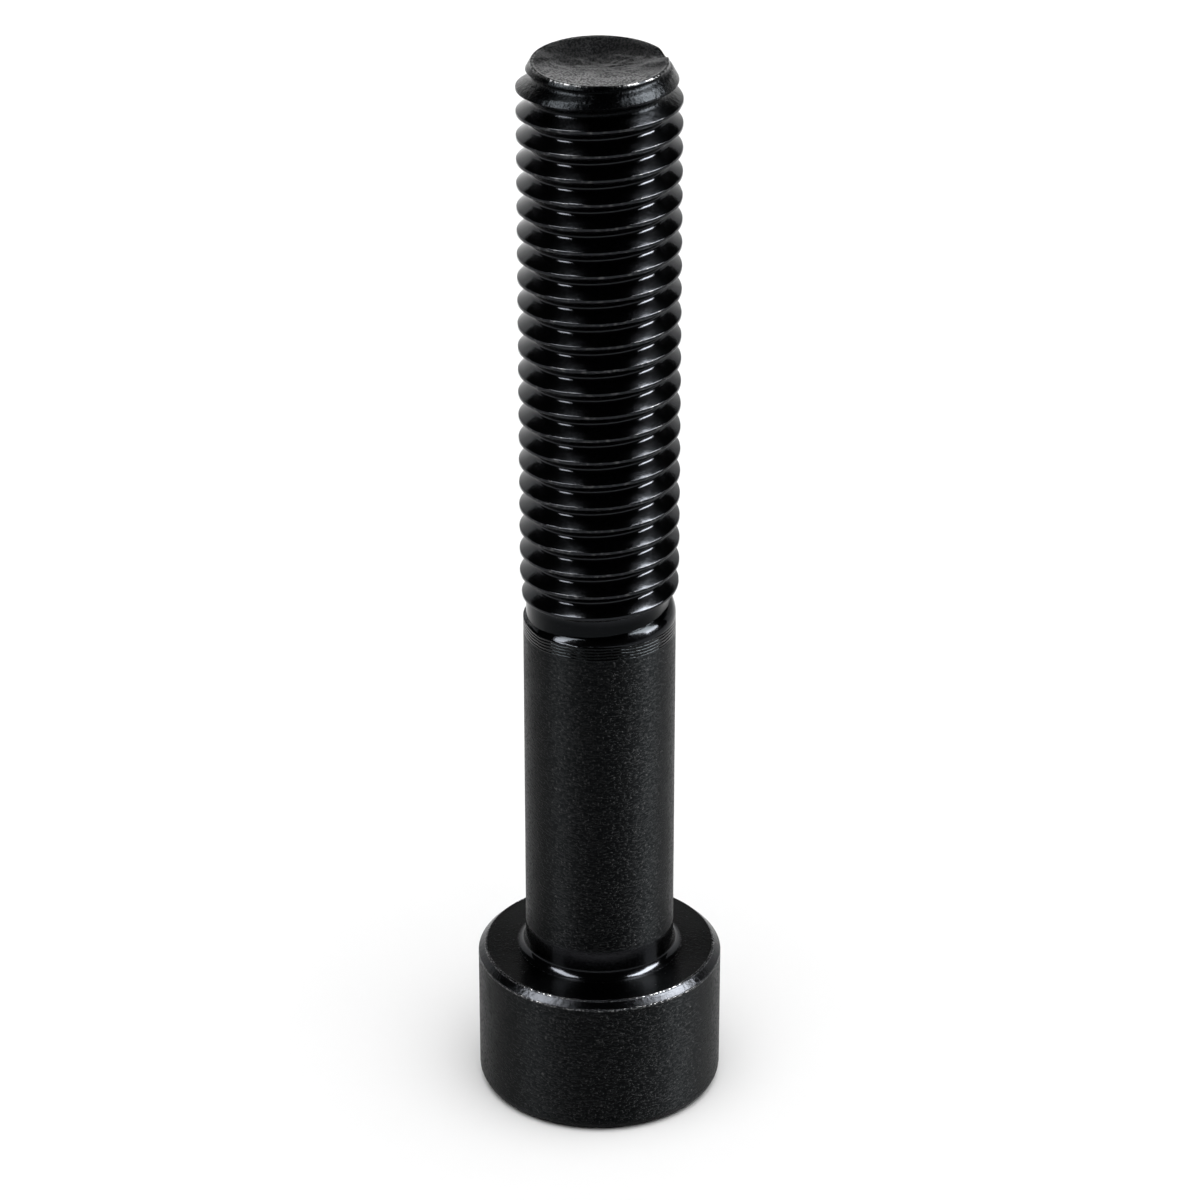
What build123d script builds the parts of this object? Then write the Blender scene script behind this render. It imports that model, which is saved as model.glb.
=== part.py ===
# Socket head cap screw, M10 x 60, partly threaded, black oxide steel.
# The screw stands on the face of its head: +Z runs along its axis to the tip,
# and the origin is the centre of the face that the hex key enters.
# To keep the part's face count down, the thread is turned as rings of its true pitch
# with shallow grooves, and the small roundings as short cones.
import os
from math import cos, radians, sin, tan

from build123d import *

# Driving dimensions, in millimetres and degrees.
length = 60.0  # under the head to the tip
head_diameter = 15.8
head_height = 9.7
head_edge_radius = 0.85  # rounded edge of the driving face
bearing_edge_chamfer = 0.48  # broken edge of the bearing face
shank_diameter = 9.58
under_head_radius = 0.65  # fillet from the bearing face into the shank
rounding_steps = 4  # cones in each quarter round

thread_diameter = 9.95  # over the crests
thread_pitch = 1.5
crest_flat = 0.45
groove_depth = 0.48
first_groove_drop = 2.0  # tip to the middle of the first groove
groove_count = 23  # of full depth
run_out_gap = 1.1  # last full groove to the shallow groove in which the thread runs out
run_out_depth = 0.35  # below the shank
crest_taper_height = 3.1  # the crests start to sink this far above the run-out
crest_taper_angle = 3.0  # from the axis

tip_diameter = 8.2  # flat end of the point
tip_half_angle = 30.0  # side of the point, from the axis
tip_lip_width = 0.55  # raised rim round the cupped end
tip_cup_depth = 0.25

socket_across_flats = 8.1
socket_depth = 5.2  # straight part of the flats
socket_floor_margin = 0.2  # the floor's cone starts this far inside the flats
socket_floor_height = 1.0
socket_mouth_margin = 0.12  # the mouth's cone starts this far outside the corners
socket_mouth_half_angle = 60.0

# Sizes that follow from them.
head_radius = head_diameter / 2
shank_radius = shank_diameter / 2
crest_radius = thread_diameter / 2
tip_radius = tip_diameter / 2
cup_radius = tip_radius - tip_lip_width
tip_z = head_height + length

flank_height = (thread_pitch - crest_flat) / 2
root_radius = crest_radius - groove_depth
point_height = first_groove_drop - flank_height
point_radius = tip_radius + point_height * tan(radians(tip_half_angle))

run_out_drop = first_groove_drop + (groove_count - 1) * thread_pitch + run_out_gap
run_out_z = tip_z - run_out_drop
run_out_half_width = run_out_depth * flank_height / groove_depth

flat_radius = socket_across_flats / 2
mouth_radius = flat_radius / cos(radians(30)) + socket_mouth_margin
mouth_depth = (mouth_radius - flat_radius) / tan(radians(socket_mouth_half_angle))


def quarter_round(centre, radius, start_angle):
    """Outline points of a quarter round, counterclockwise from its start angle."""
    turned = [radians(start_angle + 90 * step / rounding_steps) for step in range(rounding_steps + 1)]
    return [(centre[0] + radius * cos(angle), centre[1] + radius * sin(angle)) for angle in turned]


def crest_point(drop):
    """Outline point on a crest, this far below the tip."""
    sink = max(0, drop - run_out_drop + crest_taper_height) * tan(radians(crest_taper_angle))
    return (crest_radius - sink, tip_z - drop)


# The turned outline, from the middle of the driving face round to the cupped end.
outline = [(0, tip_z - tip_cup_depth), (0, 0)]
outline += quarter_round((head_radius - head_edge_radius, head_edge_radius), head_edge_radius, 270)
outline += [
    (head_radius, head_height - bearing_edge_chamfer),
    (head_radius - bearing_edge_chamfer, head_height),
]
foot_centre = (shank_radius + under_head_radius, head_height + under_head_radius)
outline += reversed(quarter_round(foot_centre, under_head_radius, 180))
outline += [
    (shank_radius, run_out_z - run_out_half_width),
    (shank_radius - run_out_depth, run_out_z),
]
for groove in reversed(range(groove_count)):
    drop = first_groove_drop + groove * thread_pitch
    outline += [
        crest_point(drop + flank_height),
        (root_radius, tip_z - drop),
    ]
    if groove > 0:
        outline.append(crest_point(drop - flank_height))
outline += [
    (point_radius, tip_z - point_height),
    (tip_radius, tip_z),
    (cup_radius, tip_z),
]

with BuildPart() as cap_screw:
    with BuildSketch(Plane.XZ):
        with BuildLine():
            Polyline(*outline)
            TangentArc((0, tip_z - tip_cup_depth), (cup_radius, tip_z), tangent=(1, 0))
        make_face()
    revolve(axis=Axis.Z)

    # The hexagon socket, with a coned floor and a countersunk mouth.
    with BuildSketch():
        RegularPolygon(radius=flat_radius, side_count=6, major_radius=False)
    extrude(amount=socket_depth, mode=Mode.SUBTRACT)
    with Locations((0, 0, socket_depth)):
        Cone(
            bottom_radius=flat_radius - socket_floor_margin,
            top_radius=0,
            height=socket_floor_height,
            align=(Align.CENTER, Align.CENTER, Align.MIN),
            mode=Mode.SUBTRACT,
        )
    Cone(
        bottom_radius=mouth_radius,
        top_radius=flat_radius,
        height=mouth_depth,
        align=(Align.CENTER, Align.CENTER, Align.MIN),
        mode=Mode.SUBTRACT,
    )
cap_screw.part.label = "cap_screw"

os.makedirs("parts", exist_ok=True)
export_step(cap_screw.part, "parts/cap_screw.step")
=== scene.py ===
import math

import bmesh
import bpy
from mathutils import Matrix, Vector, noise


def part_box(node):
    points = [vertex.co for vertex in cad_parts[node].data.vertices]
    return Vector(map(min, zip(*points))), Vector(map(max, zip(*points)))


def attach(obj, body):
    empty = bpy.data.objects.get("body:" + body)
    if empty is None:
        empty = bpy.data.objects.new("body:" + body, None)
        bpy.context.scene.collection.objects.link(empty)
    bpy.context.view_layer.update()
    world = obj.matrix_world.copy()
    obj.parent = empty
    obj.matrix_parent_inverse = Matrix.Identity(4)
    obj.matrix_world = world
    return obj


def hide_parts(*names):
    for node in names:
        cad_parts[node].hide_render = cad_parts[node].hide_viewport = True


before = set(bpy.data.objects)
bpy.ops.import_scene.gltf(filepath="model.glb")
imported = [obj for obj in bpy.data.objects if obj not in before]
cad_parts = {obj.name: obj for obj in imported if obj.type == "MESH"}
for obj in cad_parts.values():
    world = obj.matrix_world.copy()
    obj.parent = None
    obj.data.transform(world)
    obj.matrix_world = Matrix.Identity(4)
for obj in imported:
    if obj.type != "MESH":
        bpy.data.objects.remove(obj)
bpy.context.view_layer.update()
millimetre = 0.001
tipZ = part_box("cap_screw")[1][2] / millimetre

# Camera, in front of the screw and looking down on it

cameraView = {
    "lens": 120.1,
    "aimHeight": 34.45,  # mm above the floor
    "distance": 250.55,
    "elevation": 26.1,
    "sideStep": 0.03,
    "nearest": 10.0,  # mm, closest that the camera sees
}


def placeCamera(view):
    cameraData = bpy.data.cameras.new("Camera")
    cameraData.lens = view["lens"]
    cameraData.clip_start = view["nearest"] * millimetre
    camera = bpy.data.objects.new("Camera", cameraData)
    bpy.context.scene.collection.objects.link(camera)
    rise = math.radians(view["elevation"])
    aim = Vector((view["sideStep"], 0, view["aimHeight"])) * millimetre
    camera.location = aim + Vector((0, -math.cos(rise), math.sin(rise))) * view["distance"] * millimetre
    camera.rotation_euler = (aim - camera.location).to_track_quat("-Z", "Y").to_euler()
    bpy.context.scene.camera = camera


placeCamera(cameraView)
print("camera placed")

# The screw's shape, in mm and degrees

threadShape = {
    "pitch": 1.5,
    "crestRadius": 4.975,
    "depth": 0.86,
    "flankAngle": 30.0,  # each flank, from square to the axis
    "crestFlat": 0.19,
    "crestSeam": 0.05,  # lower edge of the crest to the seam between two turns
    "upperRounding": 0.05,
    "lowerRounding": 0.04,
    "rootRounding": 0.155,
    "roundingSteps": 4,
    "longEdge": 0.3,  # edges of the profile longer than this are flanks
    "flankCuts": 3,
    "stepsPerTurn": 96,
    "firstCrest": 1.2,  # tip to the first crest, at the front
    "turns": 26,
    "tipRadius": 4.1,
    "pointAngle": 30.0,
    "lastCrest": 23,  # turns below the first crest, where the thread ends in a round shoulder
    "shoulderStart": -0.7,  # last crest to where its rounding starts
    "shoulderRounding": 0.9,
    "shoulderFade": (0.82, 1.1),  # turns of groove over which the shoulder becomes a plain crest
    "grooveStart": 0.33,  # turns past the front
    "grooveRun": 1.25,  # turns over which the groove reaches its depth
    "taperStart": 33.3,  # tip to where the crests start to sink
    "taperEnd": 35.5,
    "crestNick": 0.05,
    "nickBand": 0.08,  # nicks reach this far below the crest
    "nickScale": 1.6,  # noise cells per mm
    "nickLevel": 0.25,  # noise above this is a nick
    "endBand": 0.02,  # rings within this of an end are gathered into it
    "weldGap": 0.004,
}
bodyShape = {
    "threadCut": 36.25,  # tip to the ring where the thread's mesh meets the shank's
    "shankRadius": 4.79,
    "shankRings": 20,
    "ringGap": 1.1,
    "footFillet": 0.65,
    "headHeight": 9.7,
    "headRadius": 7.9,
    "bearingChamfer": 0.48,
    "edgeRounding": 0.85,
    "smallRounding": 0.06,
    "roundingSteps": 8,
    "socketFlat": 4.05,  # axis to a flat
    "socketDepth": 5.2,
    "socketFloor": 1.0,
    "floorMargin": 0.2,
    "floorPoint": (0.2, 0.96),  # radius of the cone's last ring, and its share of the floor's depth
    "mouthMargin": 0.12,
    "mouthAngle": 60.0,
    "weldGap": 0.003,
    "sharpAngle": 32.0,  # edges that bend more than this stay sharp
}
endShape = {
    "lipWidth": 0.06,
    "lipHeight": 0.03,
    "cupMargin": 0.12,  # outside of the lip to the first ring of the hollow
    "cupRadius": 3.62,
    "cupDepth": 0.42,
    "cupRings": 26,
    "cupLean": 0.35,  # how much deeper the hollow is on one side
    "cupLeanTurn": 130.0,  # that side, towards the back left
    "grainHeight": 0.07,
    "grainScales": (0.9, 3.5),
    "grainMargin": 0.4,  # the grain fades this close to the lip
    "chipPlace": (3.75, 1.25),
    "chipRadius": 0.75,
    "chipDepth": 0.3,
    "tilt": 0.055,  # rise of the end towards the back, per mm
    "tiltReach": 1.1,  # below the tip
}


def chainPoints(corners, roundings, segments):
    # a wire through (radius, height) corners, each rounded by its own amount
    wire = bmesh.new()
    verts = [wire.verts.new((0, -radius, height)) for radius, height in corners]
    for start, end in zip(verts, verts[1:]):
        wire.edges.new((start, end))
    for size in sorted(set(roundings)):
        if size > 0:
            bmesh.ops.bevel(wire, geom=[v for v, r in zip(verts, roundings) if v.is_valid and r == size],
                            offset=size, offset_type="OFFSET", affect="VERTICES",
                            segments=segments, profile=0.5, material=-1)
    ends = [v for v in wire.verts if len(v.link_edges) == 1]
    here = min(ends, key=lambda v: (v.co - Vector((0, -corners[0][0], corners[0][1]))).length)
    points, came = [], None
    while here:
        points.append((-here.co.y, here.co.z))
        onward = [e for e in here.link_edges if e is not came]
        came = onward[0] if onward else None
        here = came.other_vert(here) if came else None
    wire.free()
    return points


def spinThread(bm, shape):
    # one turn of the thread's profile, then copied along the axis
    pitch, seam, crestRadius = shape["pitch"], shape["crestSeam"], shape["crestRadius"]
    flat = shape["crestFlat"] - seam
    flankHeight = shape["depth"] * math.tan(math.radians(shape["flankAngle"]))
    rootRadius = crestRadius - shape["depth"]
    corners = [(crestRadius, 0), (crestRadius, flat), (rootRadius, flat + flankHeight),
               (rootRadius, pitch - seam - flankHeight), (crestRadius, pitch - seam), (crestRadius, pitch)]
    roundings = [0, shape["upperRounding"], shape["rootRounding"], shape["rootRounding"],
                 shape["lowerRounding"], 0]
    profile = chainPoints(corners, roundings, shape["roundingSteps"])
    start = tipZ - shape["firstCrest"] - (shape["turns"] - 1) * pitch - shape["crestFlat"] / 2 + seam
    verts = [bm.verts.new((0, -radius, height + start)) for radius, height in profile]
    edges = [bm.edges.new(pair) for pair in zip(verts, verts[1:])]
    flanks = [e for e in edges if e.calc_length() > shape["longEdge"]]
    bmesh.ops.subdivide_edges(bm, edges=flanks, cuts=shape["flankCuts"])
    steps = shape["stepsPerTurn"]
    bmesh.ops.spin(bm, geom=bm.verts[:] + bm.edges[:], cent=(0, 0, 0), axis=(0, 0, 1), angle=2 * math.pi,
                   dvec=(0, 0, pitch / steps), steps=steps, use_merge=False)
    oneTurn = bm.verts[:] + bm.edges[:] + bm.faces[:]
    for turn in range(1, shape["turns"]):
        copied = bmesh.ops.duplicate(bm, geom=oneTurn)["geom"]
        bmesh.ops.translate(bm, verts=[g for g in copied if isinstance(g, bmesh.types.BMVert)],
                            vec=(0, 0, turn * pitch))
    bmesh.ops.remove_doubles(bm, verts=bm.verts[:], dist=shape["weldGap"])


def smoothRise(value, low, high):
    part = min(1, max(0, (value - low) / (high - low)))
    return part * part * (3 - 2 * part)


def shoulderRadius(shape, rest):
    # the rounding and flank that lead from the shank over the last crest down into its groove
    rounding = shape["shoulderRounding"]
    flank = math.radians(90 - shape["flankAngle"])
    reach = max(0, rest - shape["shoulderStart"])
    bend = min(reach, rounding * math.sin(flank))
    fall = rounding - math.sqrt(rounding ** 2 - bend ** 2) + (reach - bend) * math.tan(flank)
    return max(bodyShape["shankRadius"] - fall, shape["crestRadius"] - shape["depth"])


def grooveFloor(shape, run):
    # the groove deepens with the turns that it has run
    shankRadius = bodyShape["shankRadius"]
    full = shankRadius - (shape["crestRadius"] - shape["depth"])
    return shankRadius - full * smoothRise(run, 0, shape["grooveRun"])


def nickedRadius(shape, place, radius):
    if radius <= shape["crestRadius"] - shape["nickBand"]:
        return radius
    wear = noise.noise(place * shape["nickScale"] + Vector((7, 3, 5))) - shape["nickLevel"]
    return radius - shape["crestNick"] * max(0, wear)


def threadRadius(shape, place):
    # the radius at a place, once it has its nicks, sunk crests, point, last groove and shoulder
    shankRadius, crestRadius, pitch = bodyShape["shankRadius"], shape["crestRadius"], shape["pitch"]
    rootRadius = crestRadius - shape["depth"]
    drop = tipZ - place.z
    radius = nickedRadius(shape, place, place.xy.length)
    sunk = smoothRise(drop, shape["taperStart"], shape["taperEnd"]) * (crestRadius - shankRadius)
    radius -= sunk * (radius - rootRadius) / (crestRadius - rootRadius)
    radius = min(radius, shape["tipRadius"] + drop * math.tan(math.radians(shape["pointAngle"])))

    # how far above the last crest this is, along the helix, and how many turns its groove has run
    turn = math.atan2(place.x, -place.y) / (2 * math.pi)
    rest = (shape["lastCrest"] - turn) * pitch + shape["firstCrest"] - drop
    groove = math.floor(rest / pitch)
    run = groove + turn + 1 - shape["grooveStart"]
    radius = max(radius, grooveFloor(shape, run))
    for above, reach in ((0, rest - groove * pitch), (1, rest - (groove + 1) * pitch)):
        if reach < pitch / 2:
            rounded = max(shoulderRadius(shape, reach), grooveFloor(shape, run + above))
            shoulder = 1 - smoothRise(run + above, *shape["shoulderFade"])
            radius -= max(0, radius - rounded) * shoulder
    return radius


def trimThread(bm, shape, cutZ):
    # presses the spun thread into its final form, and gathers both ends into even rings
    for vert in bm.verts:
        radius, height = threadRadius(shape, vert.co), vert.co.z
        if height > tipZ - shape["endBand"]:
            radius, vert.co.z = shape["tipRadius"], tipZ
        elif height < cutZ + shape["endBand"]:
            radius, vert.co.z = bodyShape["shankRadius"], cutZ
        vert.co.xy = vert.co.xy.normalized() * radius
    bmesh.ops.remove_doubles(bm, verts=bm.verts[:], dist=shape["weldGap"])


def openRing(bm, height):
    reach = threadShape["endBand"]
    return [e for e in bm.edges if e.is_boundary and all(abs(v.co.z - height) < reach for v in e.verts)]


def drawRing(bm, ring, radiusAt, heightAt):
    # pulls a ring of edges out to a new radius and height, each a number or a function of the angle
    grown = bmesh.ops.extrude_edge_only(bm, edges=ring)["geom"]
    for vert in [g for g in grown if isinstance(g, bmesh.types.BMVert)]:
        angle = math.atan2(vert.co.y, vert.co.x)
        radius = radiusAt(angle) if callable(radiusAt) else radiusAt
        height = heightAt(angle) if callable(heightAt) else heightAt
        vert.co = (math.cos(angle) * radius, math.sin(angle) * radius, height)
    return [g for g in grown if isinstance(g, bmesh.types.BMEdge)]


def closeRing(bm, ring):
    middle = sum((e.verts[0].co for e in ring), Vector()) / len(ring)
    verts = list({v for e in ring for v in e.verts})
    bmesh.ops.pointmerge(bm, verts=verts, merge_co=(0, 0, middle.z))


def drawBody(bm, shape, cutZ):
    # from the thread down the shank, round the head and into the socket
    shankRadius, headRadius, headHeight = shape["shankRadius"], shape["headRadius"], shape["headHeight"]
    small, chamfer, flat = shape["smallRounding"], shape["bearingChamfer"], shape["socketFlat"]
    mouthRadius = flat / math.cos(math.radians(30)) + shape["mouthMargin"]
    mouthSlope = math.tan(math.radians(shape["mouthAngle"]))
    corners = [(shankRadius, cutZ), (shankRadius, headHeight), (headRadius - chamfer, headHeight),
               (headRadius, headHeight - chamfer), (headRadius, 0), (mouthRadius, 0)]
    roundings = [0, shape["footFillet"], small, small, shape["edgeRounding"], 0]
    profile = chainPoints(corners, roundings, shape["roundingSteps"])
    shank = [(shankRadius, cutZ - shape["ringGap"] * step) for step in range(1, shape["shankRings"] + 1)]

    def hexRadius(angle):
        return flat / math.cos((angle % math.radians(60)) - math.radians(30))

    def mouthDepth(angle):
        return (mouthRadius - hexRadius(angle)) / mouthSlope

    depth = shape["socketDepth"]
    pointRadius, pointShare = shape["floorPoint"]
    socket = [(hexRadius, mouthDepth), (hexRadius, depth), (flat - shape["floorMargin"], depth),
              (pointRadius, depth + shape["socketFloor"] * pointShare)]
    ring = openRing(bm, cutZ)
    for radiusAt, heightAt in shank + profile[1:] + socket:
        ring = drawRing(bm, ring, radiusAt, heightAt)
    closeRing(bm, ring)


def drawTip(bm, shape):
    # a narrow lip, and the hollow inside it
    lipRadius, lipHeight = threadShape["tipRadius"], tipZ + shape["lipHeight"]
    ring = openRing(bm, tipZ)
    ring = drawRing(bm, ring, lipRadius - shape["lipWidth"], lipHeight)
    for step in range(shape["cupRings"]):
        radius = (lipRadius - shape["cupMargin"]) * (1 - step / shape["cupRings"])
        hollow = shape["cupDepth"] * (1 - min(1, radius / shape["cupRadius"]) ** 2)
        lean = shape["cupLean"] * radius / shape["cupRadius"]

        def cupHeight(angle):
            return lipHeight - hollow * (1 + lean * math.cos(angle - math.radians(shape["cupLeanTurn"])))

        ring = drawRing(bm, ring, radius, cupHeight)
    closeRing(bm, ring)


def wearTip(bm, shape):
    # the hollow's uneven floor, the chip in its lip, and the lean of the whole end
    lipRadius = threadShape["tipRadius"]
    lowest = tipZ - shape["cupDepth"] - 0.1
    chipCentre = Vector((*shape["chipPlace"], tipZ))
    coarseScale, fineScale = shape["grainScales"]
    for vert in bm.verts:
        reach = vert.co.xy.length
        if vert.co.z > lowest and reach < lipRadius:
            coarse = noise.noise(vert.co * coarseScale + Vector((3, 1, 0)))
            fine = noise.noise(vert.co * fineScale)
            fade = min(1, (lipRadius - reach) / shape["grainMargin"])
            vert.co.z -= shape["grainHeight"] * (0.5 + 0.9 * coarse + 0.5 * fine) * fade
        chip = (vert.co - chipCentre).length
        if chip < shape["chipRadius"]:
            vert.co.z -= shape["chipDepth"] * (1 - chip / shape["chipRadius"])
        lean = min(1, max(0, (vert.co.z - tipZ + shape["tiltReach"]) / shape["tiltReach"]))
        vert.co.z += vert.co.y * shape["tilt"] * lean


def makeScrew():
    bm = bmesh.new()
    cutZ = tipZ - bodyShape["threadCut"]
    spinThread(bm, threadShape)
    print("thread spun", len(bm.faces))
    trimThread(bm, threadShape, cutZ)
    drawBody(bm, bodyShape, cutZ)
    drawTip(bm, endShape)
    wearTip(bm, endShape)
    bmesh.ops.remove_doubles(bm, verts=bm.verts[:], dist=bodyShape["weldGap"])
    bmesh.ops.recalc_face_normals(bm, faces=bm.faces[:])
    openEdges = [e for e in bm.edges if not e.is_manifold]
    volume = round(bm.calc_volume(), 1)
    print("screw mesh", len(bm.faces), "faces, open edges", len(openEdges), "volume", volume)
    for edge in bm.edges:
        if edge.is_manifold and edge.calc_face_angle() > math.radians(bodyShape["sharpAngle"]):
            edge.smooth = False
    bmesh.ops.scale(bm, vec=(millimetre,) * 3, verts=bm.verts[:])
    mesh = bpy.data.meshes.new("capScrew")
    bm.to_mesh(mesh)
    bm.free()
    for face in mesh.polygons:
        face.use_smooth = True
    screw = bpy.data.objects.new("capScrew", mesh)
    bpy.context.scene.collection.objects.link(screw)
    weighted = screw.modifiers.new("evenNormals", "WEIGHTED_NORMAL")
    weighted.keep_sharp = True
    return screw


# Materials


class Wire:
    # a socket that does its maths with Python's own operators
    def __init__(self, nodes, socket):
        self.nodes, self.socket = nodes, socket

    def math(self, operation, *others):
        return self.nodes.add("ShaderNodeMath", {"operation": operation}, dict(enumerate((self,) + others)))

    def __add__(self, other): return self.math("ADD", other)
    def __radd__(self, other): return self.math("ADD", other)
    def __sub__(self, other): return self.math("SUBTRACT", other)
    def __rsub__(self, other): return self.nodes.number(other).math("SUBTRACT", self)
    def __mul__(self, other): return self.math("MULTIPLY", other)
    def __rmul__(self, other): return self.math("MULTIPLY", other)

    def ramp(self, low, high):
        return self.nodes.add("ShaderNodeMapRange", {"interpolation_type": "SMOOTHSTEP"},
                              {"Value": self, "From Min": low, "From Max": high})

    def band(self, rise, fall):
        return self.ramp(*rise) * (1 - self.ramp(*fall))


class Nodes:
    # the node tree of a material or a world
    def __init__(self, owner):
        owner.use_nodes = True
        self.tree = owner.node_tree
        self.tree.nodes.clear()

    def add(self, kind, settings=None, inputs=None, output=0):
        node = self.tree.nodes.new(kind)
        for name, value in (settings or {}).items():
            setattr(node, name, value)
        for name, value in (inputs or {}).items():
            if isinstance(value, Wire):
                self.tree.links.new(value.socket, node.inputs[name])
            else:
                node.inputs[name].default_value = value
        return Wire(self, node.outputs[output]) if node.outputs else None

    def number(self, value):
        return self.add("ShaderNodeMath", {"operation": "ADD"}, {0: value, 1: 0.0})

    def colour(self, factor, first, second):
        return self.add("ShaderNodeMix", {"data_type": "RGBA"}, {0: factor, 6: first, 7: second}, output=2)

    def stretched(self, place, amounts):
        return self.add("ShaderNodeVectorMath", {"operation": "MULTIPLY"}, {0: place, 1: amounts})

    def split(self, vector):
        sockets = self.add("ShaderNodeSeparateXYZ", {}, {0: vector}).socket.node.outputs
        return [Wire(self, socket) for socket in sockets]

    def grain(self, place, scale, detail, roughness):
        return self.add("ShaderNodeTexNoise", {}, {"Vector": place, "Scale": scale, "Detail": detail,
                                                   "Roughness": roughness})


blackOxide = {
    "wall": (0.0046, 0.0052, 0.0056, 1),
    "thread": (0.018, 0.019, 0.021, 1),
    "scratch": (0.09, 0.09, 0.09, 1),
    "bareSteel": (0.5, 0.5, 0.5, 1),
    # pale colour painted on the front of the end face, as painted light
    "tipPaintedLight": (0.27, 0.27, 0.27, 1),
    "streakShare": 0.04,  # of the scratch colour
    "fleckShare": 0.22,
    "edgeWear": 0.4,  # of bare steel
    "crestWear": 0.1,
    "lipWear": 0.35,
    "wallRough": 0.47,
    "threadRough": 0.14,
    "faceRough": 0.25,
    "endRough": 0.32,
    "turning": 0.91,  # how far the turning marks stretch the highlights along the axis
    "edgeShine": 0.86,  # how much of the glancing reflection stays
}

# How far each mark stands up, as a multiple of the unit
oxideRelief = {
    "scratch": 0.8,
    "fleck": 1.0,
    "speckle": 0.12,
    "rings": 1.8,
    "ringWave": 30,  # radians per mm, so a ring every 0.2 mm
    "end": 0.5,
    "point": 2.0,
    "edges": 2.5,
    "chamfer": 1.2,
    "crest": 0.8,
    "unit": 0.02,  # mm that a mark of 1 stands up
}

# Where each finish fades in or out, in mm: feet and tops above the floor, the others from the axis
oxideZones = {
    "threadFoot": (33.2, 33.5),
    "ringsFoot": (32.45, 32.6),
    "ringsTop": (33.3, 33.6),
    "grooveTop": (34.6, 35.4),
    "grooveOuter": (4.5, 4.7),
    "crestInner": (4.93, 4.965),
    "pointFoot": (67.0, 68.0),
    "endFoot": (68.9, 69.1),
    "endOuter": (3.9, 4.1),
    "lipFoot": (69.4, 69.55),
    "lipInner": (3.84, 3.92),
    "lipOuter": (4.12, 4.2),
    "neckFoot": (9.0, 9.4),
    "neckTop": (11.35, 11.9),
    "neckOuter": (5.2, 5.4),
    "faceFoot": (9.55, 9.65),
    "faceTop": (9.72, 9.8),
    "faceInner": (5.1, 5.4),
    "chamferFoot": (9.1, 9.25),
    "chamferTop": (9.68, 9.72),
    "chamferInner": (7.3, 7.45),
    "rimFoot": (9.6, 9.64),
    "rimInner": (7.33, 7.39),
    "rimOuter": (7.46, 7.54),
    "lowerRimFoot": (9.12, 9.16),
    "lowerRimTop": (9.25, 9.3),
    "lowerRimInner": (7.8, 7.85),
}


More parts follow.
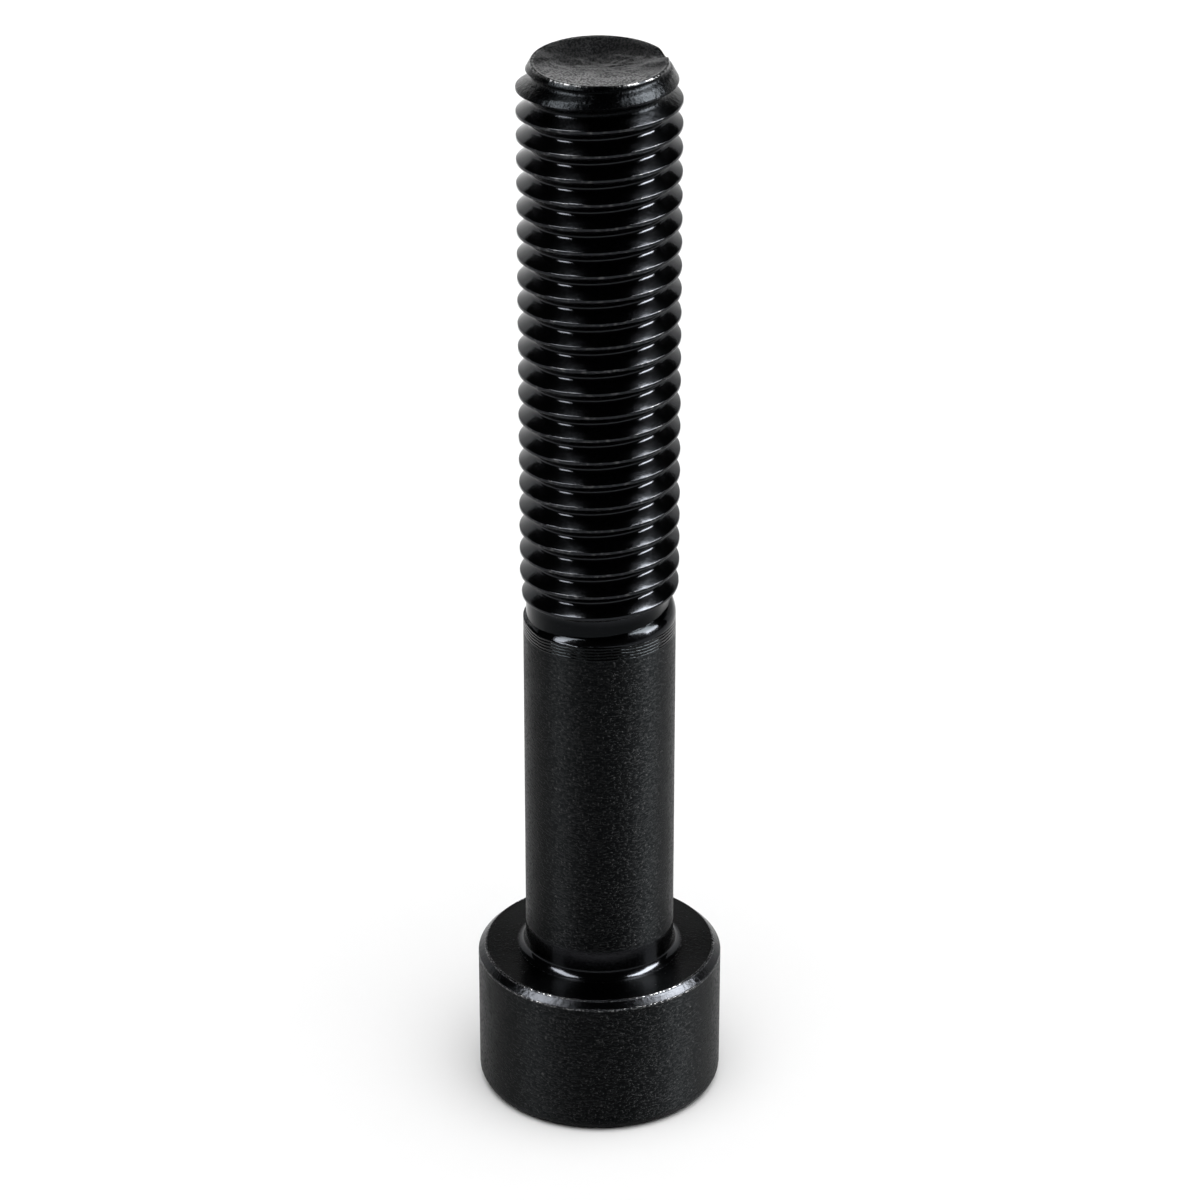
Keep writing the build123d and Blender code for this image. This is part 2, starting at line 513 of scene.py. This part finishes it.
def blackOxideMaterial(finish, marks, zones):
    material = bpy.data.materials.new("blackOxideSteel")
    nodes = Nodes(material)
    place = nodes.add("ShaderNodeTexCoord", output=3)
    place = nodes.add("ShaderNodeVectorMath", {"operation": "SCALE"}, {0: place, "Scale": 1 / millimetre})
    across, along, height = nodes.split(place)
    radius = (across * across + along * along).math("SQRT")

    # places on the screw
    inThread = height.ramp(*zones["threadFoot"])
    rings = height.band(zones["ringsFoot"], zones["ringsTop"])
    # the floor of the last groove, painted darker as painted shade
    lastGroovePaintedShade = (1 - height.ramp(*zones["grooveTop"])) * (1 - radius.ramp(*zones["grooveOuter"]))
    crest = radius.ramp(*zones["crestInner"]) * inThread
    onEnd = height.ramp(*zones["endFoot"]) * (1 - radius.ramp(*zones["endOuter"]))
    onPoint = height.ramp(*zones["pointFoot"]) * (1 - onEnd)
    lip = radius.band(zones["lipInner"], zones["lipOuter"]) * height.ramp(*zones["lipFoot"])
    inNeck = height.band(zones["neckFoot"], zones["neckTop"]) * (1 - radius.ramp(*zones["neckOuter"]))
    onFace = height.band(zones["faceFoot"], zones["faceTop"]) * radius.ramp(*zones["faceInner"])
    onChamfer = height.band(zones["chamferFoot"], zones["chamferTop"]) * radius.ramp(*zones["chamferInner"])
    rim = radius.band(zones["rimInner"], zones["rimOuter"]) * height.ramp(*zones["rimFoot"])
    lowerRim = (height.band(zones["lowerRimFoot"], zones["lowerRimTop"])
                * radius.ramp(*zones["lowerRimInner"]))
    glossy = inThread.math("MAXIMUM", inNeck).math("MAXIMUM", rings * 0.8).math("MAXIMUM", onChamfer)
    onWall = (1 - glossy) * (1 - onEnd) * (1 - onFace * 0.95)

    # grains and marks
    dashes = nodes.grain(nodes.stretched(place, (3.0, 3.0, 8.0)), 1.0, 1.0, 0.5)
    endGrain = nodes.grain(nodes.stretched(place, (8.0, 4.4, 8.0)), 1.0, 1.0, 0.5)
    speckle = nodes.grain(place, 6.5, 1.0, 0.5)
    cloud = nodes.grain(place, 0.5, 3.0, 0.5)
    nicks = nodes.grain(place, 3.2, 3.0, 0.7)
    fineNicks = nodes.grain(place, 8.0, 2.0, 0.7)
    scratch = dashes.ramp(0.54, 0.62) * onWall
    streaks = dashes.ramp(0.44, 0.6) + speckle.ramp(0.44, 0.6)
    fleck = speckle.ramp(0.66, 0.72) * onWall
    worn = (rim * fineNicks.ramp(0.56, 0.62) + lowerRim * fineNicks.ramp(0.54, 0.6)) * finish["edgeWear"]
    worn = worn + crest * nicks.ramp(0.52, 0.66) * finish["crestWear"]
    worn = worn + lip * nicks.ramp(0.42, 0.6) * finish["lipWear"]

    # painted light and shade on the end face: pale in front and dark at the back, with a ragged border
    paintedLightSlope = along * -0.85 - across * 0.15 - across * across * 0.1 + (cloud - 0.5) * 3.0
    endPaintedLight = paintedLightSlope.ramp(-0.9, 2.0)
    endSpeck = endGrain.ramp(0.44, 0.56) * 0.8 + speckle.ramp(0.44, 0.58) * 0.2

    # the last groove's floor takes the dark wall colour, as painted shade
    threadShare = glossy * (1 - rings) * (1 - onPoint * 0.8) * (1 - lastGroovePaintedShade * 0.9)
    base = nodes.colour(threadShare, finish["wall"], finish["thread"])
    scratchShare = streaks * onWall * finish["streakShare"] + fleck * finish["fleckShare"]
    base = nodes.colour(scratchShare, base, finish["scratch"])
    base = nodes.colour(worn, base, finish["bareSteel"])
    # the end face's colour: painted light in front and painted shade at the back, over its speckled grain
    endBase = nodes.colour((0.22 + endPaintedLight * 0.78) * endSpeck, finish["thread"], finish["tipPaintedLight"])
    endBase = nodes.colour(worn, endBase, finish["bareSteel"])

    rough = finish["wallRough"] + (streaks - 1) * 0.09 + (cloud - 0.5) * 0.15
    rough = rough * (1 - glossy) + glossy * (finish["threadRough"] + (speckle - 0.5) * 0.12 + onChamfer * 0.1)
    rough = rough + onPoint * 0.14
    rough = rough * (1 - onFace) + onFace * (finish["faceRough"] + (speckle - 0.5) * 0.1)

    turnedRings = (height * marks["ringWave"] + cloud * 9 + across * 0.15).math("SINE") * (0.3 + nicks)
    relief = scratch * marks["scratch"] + fleck * marks["fleck"] + speckle * marks["speckle"]
    relief = relief + rings * turnedRings * marks["rings"]
    relief = relief + onEnd * (0.2 + endPaintedLight * 0.8) * endGrain.ramp(0.42, 0.6) * marks["end"]
    relief = relief + onPoint * nicks * marks["point"]
    relief = relief + (rim + lowerRim) * fineNicks.ramp(0.45, 0.55) * marks["edges"]
    relief = relief + (onChamfer * marks["chamfer"] + crest * marks["crest"]) * nicks
    bump = nodes.add("ShaderNodeBump", {}, {
        "Strength": 1.0, "Distance": marks["unit"] * millimetre, "Height": relief})

    tint = (finish["edgeShine"],) * 3 + (1,)
    turned = nodes.add("ShaderNodeBsdfPrincipled", {}, {
        "Base Color": base, "Metallic": 1.0, "Roughness": rough, "Normal": bump,
        "Anisotropic": finish["turning"], "Anisotropic Rotation": 0.25, "Specular Tint": tint})
    sawn = nodes.add("ShaderNodeBsdfPrincipled", {}, {
        "Base Color": endBase, "Metallic": 1.0, "Roughness": finish["endRough"] + endPaintedLight * 0.1,
        "Normal": bump, "Specular Tint": tint})
    shader = nodes.add("ShaderNodeMixShader", {}, {0: onEnd, 1: turned, 2: sawn})
    nodes.add("ShaderNodeOutputMaterial", {}, {"Surface": shader})
    return material


screw = makeScrew()
screw.data.materials.append(blackOxideMaterial(blackOxide, oxideRelief, oxideZones))
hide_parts("cap_screw")
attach(screw, "root")
print("screw made")

# Floor and lights, in metres

studio = {
    "floorSize": 3.0,
    "floorColour": (0.86, 0.86, 0.86, 1),
    "skyLight": 0.03,  # what the steel mirrors overhead
    "aimHeight": 0.035,
    "backdrop": {"away": 0.8, "height": 0.44, "spread": 130, "steps": 40, "brightness": 0.3},
    "leftBox": {"turn": -68, "rise": 46, "away": 0.55, "size": (0.18, 0.42), "power": 6.5},
    "rightBox": {"turn": 87, "rise": 44, "away": 0.55, "size": (0.22, 0.42), "power": 15.5},
    "overhead": {"turn": 15, "rise": 76, "away": 1.2, "angle": 75, "strength": 3.7},
}


def stagePiece(name, bm, glow=0.0):
    mesh = bpy.data.meshes.new(name)
    bm.to_mesh(mesh)
    bm.free()
    piece = bpy.data.objects.new(name, mesh)
    bpy.context.scene.collection.objects.link(piece)
    material = bpy.data.materials.new(name)
    nodes = Nodes(material)
    shader = nodes.add("ShaderNodeBsdfPrincipled", {}, {
        "Base Color": studio["floorColour"], "Roughness": 0.9, "Specular IOR Level": 0.0,
        "Emission Color": (1, 1, 1, 1), "Emission Strength": glow})
    nodes.add("ShaderNodeOutputMaterial", {}, {"Surface": shader})
    mesh.materials.append(material)


def makeFloor(size):
    bm = bmesh.new()
    bmesh.ops.create_grid(bm, x_segments=1, y_segments=1, size=size / 2)
    stagePiece("floor", bm)


def makeBackdrop(wall):
    # a curved white wall behind the screw, which its sides mirror
    bm = bmesh.new()
    foot = bm.verts.new((0, wall["away"], 0))
    top = bm.verts.new((0, wall["away"], wall["height"]))
    bm.edges.new((foot, top))
    spread = math.radians(wall["spread"])
    bmesh.ops.rotate(bm, verts=bm.verts[:], cent=(0, 0, 0), matrix=Matrix.Rotation(-spread / 2, 3, "Z"))
    bmesh.ops.spin(bm, geom=bm.verts[:] + bm.edges[:], cent=(0, 0, 0), axis=(0, 0, 1), angle=spread,
                   dvec=(0, 0, 0), steps=wall["steps"], use_merge=False)
    stagePiece("backdrop", bm, wall["brightness"])


def aimLamp(name, light, box):
    lamp = bpy.data.objects.new(name, light)
    bpy.context.scene.collection.objects.link(lamp)
    turn, rise = math.radians(box["turn"]), math.radians(box["rise"])
    toLamp = Vector((math.sin(turn) * math.cos(rise), -math.cos(turn) * math.cos(rise), math.sin(rise)))
    lamp.location = Vector((0, 0, studio["aimHeight"])) + toLamp * box["away"]
    lamp.rotation_euler = (-toLamp).to_track_quat("-Z", "Y").to_euler()
    return lamp


def softBox(name, box):
    # mirrored by the steel, but leaves the floor alone
    light = bpy.data.lights.new(name, "AREA")
    light.shape = "RECTANGLE"
    light.size, light.size_y = box["size"]
    light.energy = box["power"]
    aimLamp(name, light, box).visible_diffuse = False


def floorLight(name, box):
    # lights the floor evenly, and isn't mirrored
    light = bpy.data.lights.new(name, "SUN")
    light.angle = math.radians(box["angle"])
    light.energy = box["strength"]
    aimLamp(name, light, box).visible_glossy = False


def lightSky(strength):
    # pale where the camera looks past the floor, dim where the steel mirrors it
    world = bpy.data.worlds.new("studio")
    nodes = Nodes(world)
    seen = nodes.add("ShaderNodeLightPath")
    chosen = nodes.add("ShaderNodeMix", {}, {"Factor": seen, "A": strength, "B": 1.0})
    sky = nodes.add("ShaderNodeBackground", {}, {"Color": (1, 1, 1, 1), "Strength": chosen})
    nodes.add("ShaderNodeOutputWorld", {}, {"Surface": sky})
    bpy.context.scene.world = world


makeFloor(studio["floorSize"])
makeBackdrop(studio["backdrop"])
for name in ("leftBox", "rightBox"):
    softBox(name, studio[name])
floorLight("overhead", studio["overhead"])
lightSky(studio["skyLight"])
bpy.context.scene.view_settings.view_transform = "Standard"
print("studio lit")
